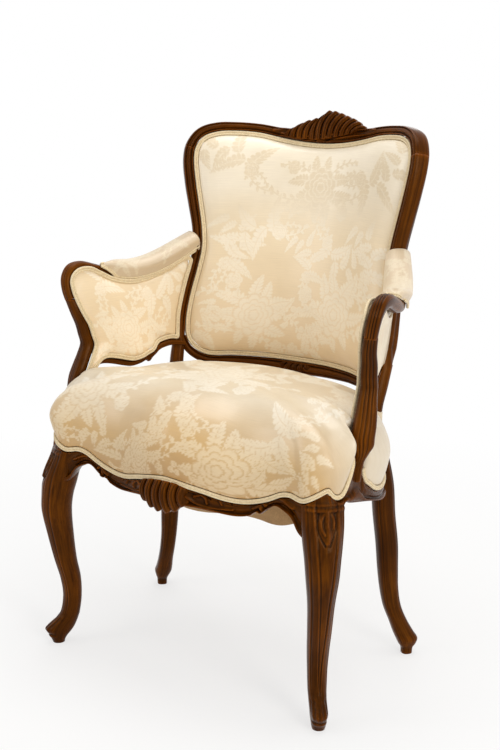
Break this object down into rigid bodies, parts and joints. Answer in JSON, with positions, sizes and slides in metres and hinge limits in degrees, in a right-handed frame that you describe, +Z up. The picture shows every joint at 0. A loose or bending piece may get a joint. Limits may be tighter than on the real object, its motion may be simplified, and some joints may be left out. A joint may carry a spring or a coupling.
{
  "type": "upholstered open armchair",
  "caption": "Carved walnut armchair on cabriole legs with a concave cartouche back, sprung serpentine seat, padded arms, upholstered arm panels and piped floral damask covers.",
  "frame": {"origin": "on the floor under the middle of the chair's outer box", "axes": "+Z up; the sitter faces -Y; +X is to the viewer's right as seen from the front"},
  "size_m": [0.6772, 0.5752, 0.9991],
  "materials": {
    "walnut": "waxed dark walnut",
    "seat_damask": "satin floral damask",
    "back_damask": "satin floral damask",
    "piping": "twisted cord",
    "beech": "raw",
    "jute": "coarse",
    "linen": "plain",
    "spring_steel": "dull"
  },
  "bodies": {
    "root": {"front_leg_left": "walnut", "front_leg_right": "walnut", "back_post_left": "walnut", "back_post_right": "walnut", "front_rail": "walnut", "side_rail_left": "walnut", "side_rail_right": "walnut", "rear_rail": "walnut", "crest_rail": "walnut", "back_lower_rail": "walnut", "arm_post_left": "walnut", "arm_post_right": "walnut", "arm_rail_left": "walnut", "arm_rail_right": "walnut", "arm_panel_rail_left": "walnut", "arm_panel_rail_right": "walnut", "front_corner_block_left": "beech", "front_corner_block_right": "beech", "rear_corner_block_left": "beech", "rear_corner_block_right": "beech", "seat_webbing": "jute", "seat_spring_1": "spring_steel", "seat_spring_2": "spring_steel", "seat_spring_3": "spring_steel", "seat_spring_4": "spring_steel", "seat_hessian": "jute", "seat_cushion": "seat_damask", "seat_front_cord": "piping", "seat_side_cord_left": "piping", "seat_side_cord_right": "piping", "seat_rear_cord": "piping", "dust_cover": "linen", "back_pad": "back_damask", "back_cord": "piping", "outside_back": "back_damask", "outside_back_cord": "piping", "arm_pad_left": "back_damask", "inside_arm_panel_left": "back_damask", "inside_arm_cord_left": "piping", "outside_arm_panel_left": "back_damask", "arm_pad_right": "back_damask", "inside_arm_panel_right": "back_damask", "inside_arm_cord_right": "piping", "outside_arm_panel_right": "back_damask"}
  },
  "joints": []
}
